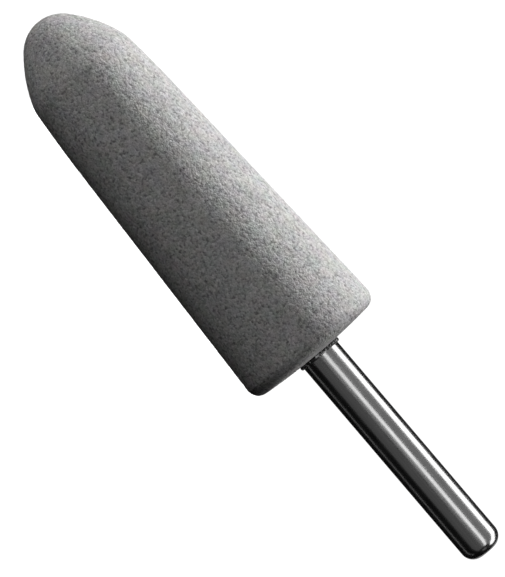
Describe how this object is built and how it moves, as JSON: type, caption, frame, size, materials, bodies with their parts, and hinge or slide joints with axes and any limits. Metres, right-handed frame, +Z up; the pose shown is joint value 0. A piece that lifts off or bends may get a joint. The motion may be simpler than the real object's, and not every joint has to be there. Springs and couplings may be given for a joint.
{
  "type": "mounted grinding point",
  "caption": "Tapered, round-nosed abrasive head cemented on a plain polished steel shank, for grinding inside bores, fillets and castings with a die grinder.",
  "frame": {"origin": "on the tool's axis, at the shoulder where the plain shank leaves the cement ring behind the head", "axes": "+X along the tool's axis towards the shank's free end, with the head's tip towards -X; +Z up with the tool lying down; the tool is round about X"},
  "size_m": [0.1016, 0.023, 0.023],
  "materials": {
    "abrasive": "matte",
    "steel": "polished",
    "cement": "gloss"
  },
  "bodies": {
    "root": {"abrasive_head": "abrasive", "shank": "steel", "bonding_cement": "cement"}
  },
  "joints": []
}
